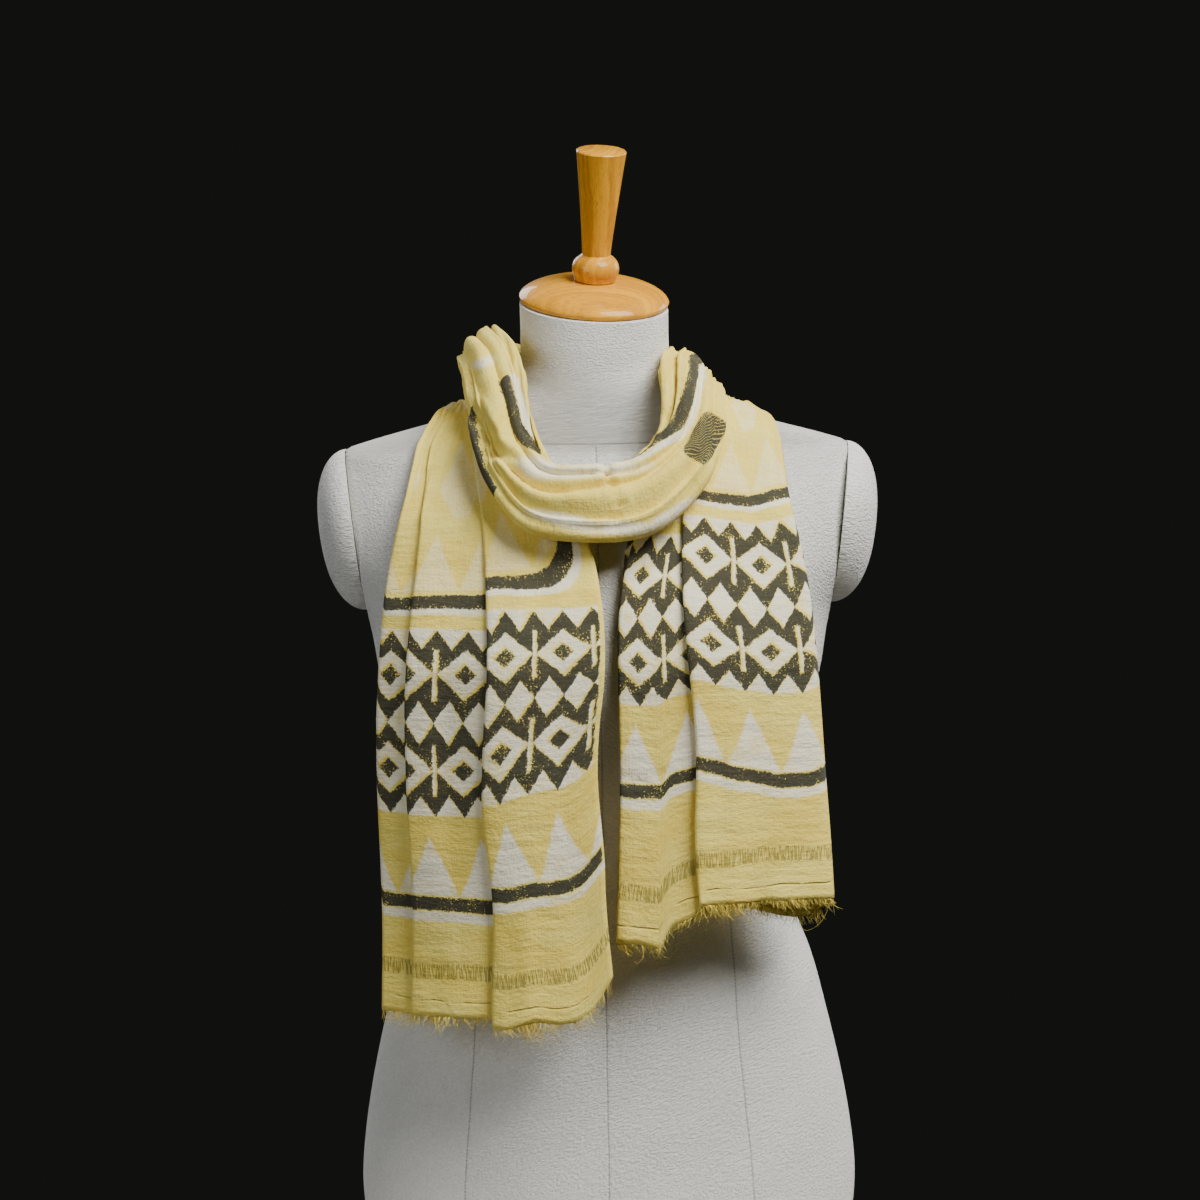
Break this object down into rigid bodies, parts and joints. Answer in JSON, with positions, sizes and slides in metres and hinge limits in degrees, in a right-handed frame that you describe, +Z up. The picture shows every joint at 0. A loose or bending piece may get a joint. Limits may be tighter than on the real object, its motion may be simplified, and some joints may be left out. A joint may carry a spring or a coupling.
{
  "type": "stole on dress form",
  "caption": "Long woven gauze stole wrapped round the neck of a limbless dress form, its frayed ends hanging down the front, with a turned wooden neck cap and handle above.",
  "frame": {"origin": "middle of the dress form's flat base", "axes": "+Z up along the form, -Y out of its front, +X to the right of someone facing it"},
  "size_m": [0.393, 0.2694, 0.7999],
  "materials": {
    "linen_cover": "plain off-white linen weave, pulled smooth over padding",
    "varnished_wood": "turned light wood under clear gloss varnish",
    "printed_gauze": "thin matt gauze, pale yellow with block-printed charcoal and white bands, ends frayed"
  },
  "bodies": {
    "root": {"form_body": "linen_cover", "form_shoulder_cap_left": "linen_cover", "form_shoulder_cap_right": "linen_cover", "neck_disc": "varnished_wood", "finial": "varnished_wood", "stole_left_fall": "printed_gauze", "stole_loop": "printed_gauze", "stole_right_fall": "printed_gauze"}
  },
  "joints": []
}
